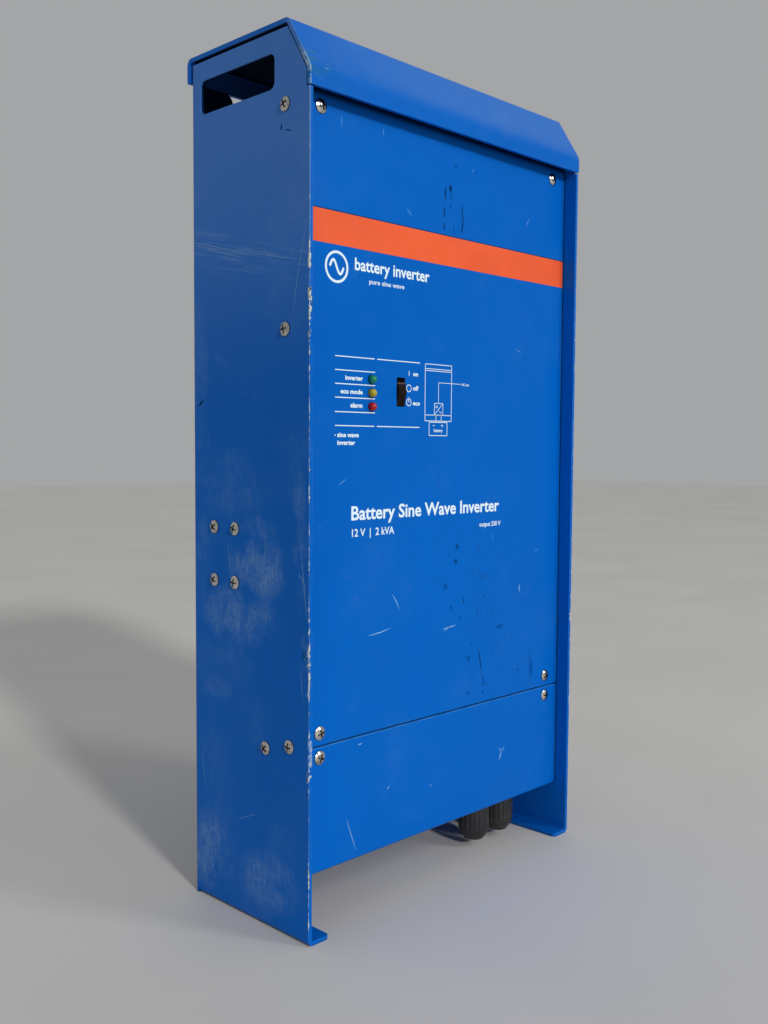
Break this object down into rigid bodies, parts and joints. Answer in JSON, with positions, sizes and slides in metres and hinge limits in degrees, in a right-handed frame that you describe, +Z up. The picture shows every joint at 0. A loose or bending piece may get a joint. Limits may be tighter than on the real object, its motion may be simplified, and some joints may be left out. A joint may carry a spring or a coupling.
{
  "type": "battery inverter",
  "caption": "Wall-hung battery inverter in a folded sheet-metal case with drip hood, grip slots, removable connection cover, lamps, rocker switch and cable glands.",
  "frame": {"origin": "on the floor plane, under the middle of the overall box", "axes": "+Z up, -Y towards the front covers, +Y towards the wall, +X to the right seen from the front"},
  "size_m": [0.2586, 0.125, 0.52],
  "materials": {
    "blue_paint": "semi-gloss blue powder coat, scuffed, chipped on the front edges",
    "zinc_steel": "zinc-plated steel, satin",
    "stainless": "stainless steel, satin",
    "copper": null,
    "black_nylon": "black nylon, fine texture",
    "rocker_plastic": "black, slightly dusty",
    "white_nylon": "natural nylon",
    "rubber": "black rubber",
    "grey_plastic": "grey polyamide",
    "orange_plastic": "orange polyamide",
    "core_film": "wound steel and copper core under amber polyester tape",
    "bare_aluminium": "extruded, bare",
    "board_green": "glass-fibre board with green solder mask",
    "black_epoxy": "moulded epoxy",
    "can_sleeve": "dark blue shrink sleeve",
    "fuse_body": "pale ceramic body",
    "wire_sleeve": "dark flexible sleeve",
    "lens_green": "clear green epoxy, unlit",
    "lens_yellow": "clear yellow epoxy, unlit",
    "lens_red": "clear red epoxy, unlit"
  },
  "bodies": {
    "case": {"ac_lever_pin": "stainless", "ac_terminal_block": "grey_plastic", "ac_wires": "wire_sleeve", "back_screws": "stainless", "battery_grommets": "rubber", "battery_stud_nuts": "stainless", "battery_studs": "stainless", "board_posts": "white_nylon", "capacitors": "can_sleeve", "chassis": "blue_paint", "clinch_nuts": "zinc_steel", "connection_tray": "blue_paint", "control_board": "board_green", "cover_rails": "blue_paint", "dc_terminal_base": "black_nylon", "display_board": "board_green", "earth_nut": "stainless", "earth_stud": "stainless", "fan_frame": "black_nylon", "fan_screws": "stainless", "front_cover": "blue_paint", "front_cover_screws": "stainless", "fuse_bolts": "zinc_steel", "gland_bodies": "black_nylon", "gland_dome_nuts": "black_nylon", "gland_lock_nuts": "black_nylon", "gland_seals": "rubber", "hanging_rail": "zinc_steel", "heatsink": "bare_aluminium", "hood_struts": "blue_paint", "led_green": "lens_green", "led_red": "lens_red", "led_yellow": "lens_yellow", "main_fuse": "fuse_body", "negative_busbar": "copper", "output_choke": "copper", "positive_busbar": "copper", "power_board": "board_green", "power_transistors": "black_epoxy", "relays": "black_epoxy", "side_screws": "stainless", "strut_screws": "stainless", "switch_housing": "black_nylon", "top_hood": "blue_paint", "transformer": "core_film", "transformer_bolt": "zinc_steel", "transformer_clamp_plate": "zinc_steel", "transformer_cradle": "zinc_steel", "transformer_leads": "wire_sleeve", "transformer_nut": "zinc_steel", "transformer_pads": "rubber", "vent_plate": "blue_paint", "wall_spacers": "black_nylon"},
    "cover": {"connection_cover": "blue_paint", "connection_cover_screws": "stainless"},
    "switch_rocker": {"rocker": "rocker_plastic"},
    "fan": {"fan_rotor": "black_nylon"},
    "lever_line": {"ac_lever_line": "orange_plastic"},
    "lever_neutral": {"ac_lever_neutral": "orange_plastic"},
    "lever_earth": {"ac_lever_earth": "orange_plastic"}
  },
  "joints": [
    {"name": "connection_cover_off", "type": "slide", "parent": "case", "child": "cover", "axis": [0, -1, 0], "range_m": [0, 0.15]},
    {"name": "rocker_tilt", "type": "hinge", "parent": "case", "child": "switch_rocker", "pos_m": [-0.044, -0.048, 0.3179], "axis": [1, 0, 0], "range_deg": [-11, 11]},
    {"name": "fan_spin", "type": "hinge", "parent": "case", "child": "fan", "pos_m": [0.081, 0.002, 0.14], "axis": [0, 0, 1], "continuous": true},
    {"name": "lever_line_open", "type": "hinge", "parent": "case", "child": "lever_line", "pos_m": [0.056, 0.035, 0.0915], "axis": [-1, 0, 0], "range_deg": [0, 80]},
    {"name": "lever_neutral_open", "type": "hinge", "parent": "case", "child": "lever_neutral", "pos_m": [0.072, 0.035, 0.0915], "axis": [-1, 0, 0], "range_deg": [0, 80]},
    {"name": "lever_earth_open", "type": "hinge", "parent": "case", "child": "lever_earth", "pos_m": [0.088, 0.035, 0.0915], "axis": [-1, 0, 0], "range_deg": [0, 80]}
  ]
}
